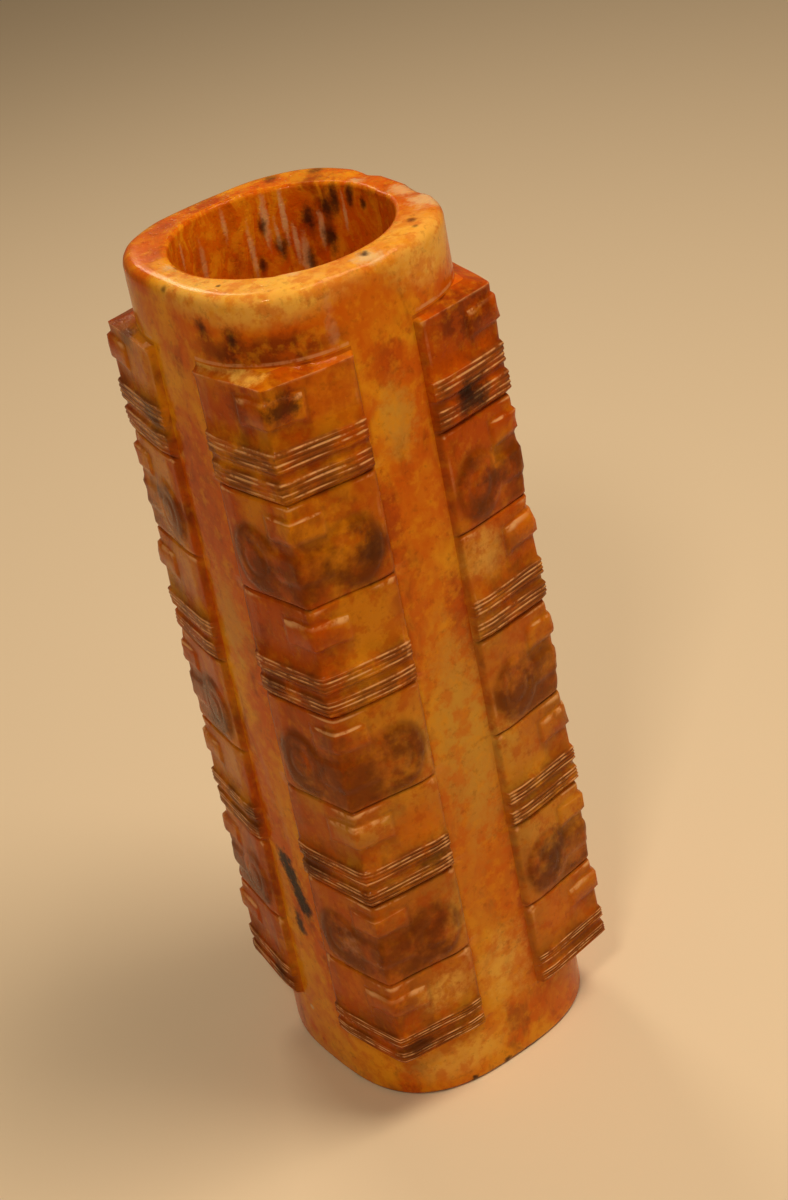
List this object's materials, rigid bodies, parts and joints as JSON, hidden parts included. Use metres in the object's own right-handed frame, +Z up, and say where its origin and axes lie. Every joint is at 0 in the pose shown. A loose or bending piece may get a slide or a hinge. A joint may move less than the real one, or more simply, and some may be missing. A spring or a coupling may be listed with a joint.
{
  "type": "jade cong",
  "caption": "Tall square-cornered jade tube with a round bore, stacked registers of carved mask ornament on its corners and plain channels between them.",
  "frame": {"origin": "centre of the foot, on the surface it stands on", "axes": "+Z up along the bore; +X and +Y each face the middle of a plain channel, so the carved corners lie between them"},
  "size_m": [0.071, 0.071, 0.21],
  "materials": {
    "jade": "waxy polish, worn, with dark stain in the carving"
  },
  "bodies": {
    "root": {"jade_cong": "jade"}
  },
  "joints": []
}
